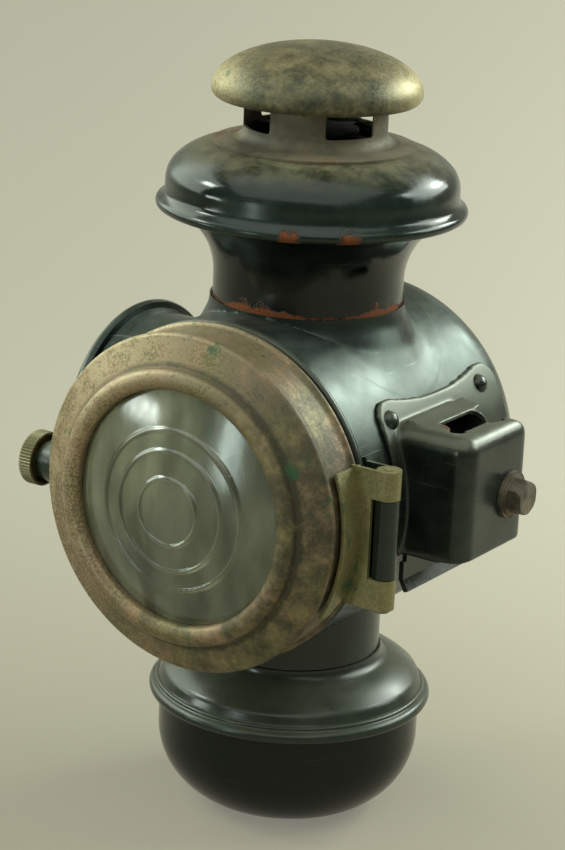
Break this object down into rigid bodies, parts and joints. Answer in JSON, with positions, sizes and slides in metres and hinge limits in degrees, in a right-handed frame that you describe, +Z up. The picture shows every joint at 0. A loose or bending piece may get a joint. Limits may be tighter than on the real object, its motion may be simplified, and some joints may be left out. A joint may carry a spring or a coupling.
{
  "type": "oil-burning vehicle lamp",
  "caption": "Round-bodied oil lamp for a vehicle: hinged bull's-eye lens door, side window, capped chimney, lift-off oil font and riveted bracket socket.",
  "frame": {"origin": "middle of the flat foot under the oil font, where the lamp stands", "axes": "+Z up along the chimney, -Y towards the front lens, +X towards the hinge and the bracket socket, -X towards the side window and the catch screw"},
  "size_m": [0.141, 0.1302, 0.24],
  "materials": {
    "enamel": "black baked enamel, glossy, worn grey in places",
    "tarnished_nickel": "brass with worn and tarnished nickel plating",
    "brass": "dull brass",
    "dusty_steel": "matt worn paint with dust",
    "rusty_steel": "rusty steel",
    "mirror_plate": "silvered and slightly dulled",
    "clear_glass": "pressed clear glass",
    "wick_cotton": "woven cotton",
    "gasket": "woven packing cord"
  },
  "bodies": {
    "font": {"font_bowl": "enamel", "font_dome": "enamel", "burner_collar": "brass", "burner_body": "brass", "wick_tube": "brass", "burner_cone": "brass"},
    "wick": {"wick": "wick_cotton"},
    "wick_winder": {"wick_spindle": "brass", "star_wheels": "brass", "wick_knob": "brass"},
    "lamp": {"drum": "enamel", "door_seat_ring": "enamel", "lower_neck": "enamel", "upper_neck": "enamel", "hood": "enamel", "chimney_gallery": "dusty_steel", "chimney_cap": "tarnished_nickel", "flue_funnel": "dusty_steel", "draft_baffle": "dusty_steel", "reflector": "mirror_plate", "side_window_housing": "enamel", "side_glass": "clear_glass", "side_glass_clip": "brass", "hinge_bracket": "enamel", "hinge_pin": "brass", "lamp_bracket": "enamel", "socket_liner": "enamel", "bracket_rivets": "enamel", "clamp_nut": "rusty_steel"},
    "clamp_washer": {"clamp_washer": "rusty_steel"},
    "clamp_bolt": {"clamp_bolt": "rusty_steel"},
    "door": {"door_bezel": "tarnished_nickel", "lens": "clear_glass", "lens_gasket": "gasket", "lens_retainer": "brass", "door_hinge_leaf": "tarnished_nickel", "catch_boss": "enamel"},
    "catch_screw": {"catch_screw": "tarnished_nickel"}
  },
  "joints": [
    {"name": "lamp_lift", "type": "slide", "parent": "font", "child": "lamp", "axis": [0, 0, 1], "range_m": [0, 0.05]},
    {"name": "wick_turn", "type": "hinge", "parent": "font", "child": "wick_winder", "pos_m": [0, 0.0041, 0.0705], "axis": [1, 0, 0], "range_deg": [-115, 58]},
    {"name": "wick_rise", "type": "slide", "parent": "font", "child": "wick", "axis": [0, 0, 1], "range_m": [-0.003, 0.006]},
    {"name": "door_hinge", "type": "hinge", "parent": "lamp", "child": "door", "pos_m": [0.0585, -0.0433, 0.1118], "axis": [0, 0, 1], "range_deg": [0, 120]},
    {"name": "catch_turn", "type": "hinge", "parent": "door", "child": "catch_screw", "pos_m": [-0.0586, -0.0515, 0.1111], "axis": [1, 0, 0], "range_deg": [0, 360]},
    {"name": "washer_slide", "type": "slide", "parent": "lamp", "child": "clamp_washer", "axis": [1, 0, 0], "range_m": [0, 0.003]},
    {"name": "bolt_turn", "type": "hinge", "parent": "clamp_washer", "child": "clamp_bolt", "pos_m": [0.075, 0.003, 0.1155], "axis": [1, 0, 0], "range_deg": [0, 851]}
  ],
  "couplings": [
    {"joint": "wick_turn", "follows": "wick_rise", "rad_per_m": -333.33},
    {"joint": "bolt_turn", "follows": "washer_slide", "rad_per_m": 4947.4}
  ]
}
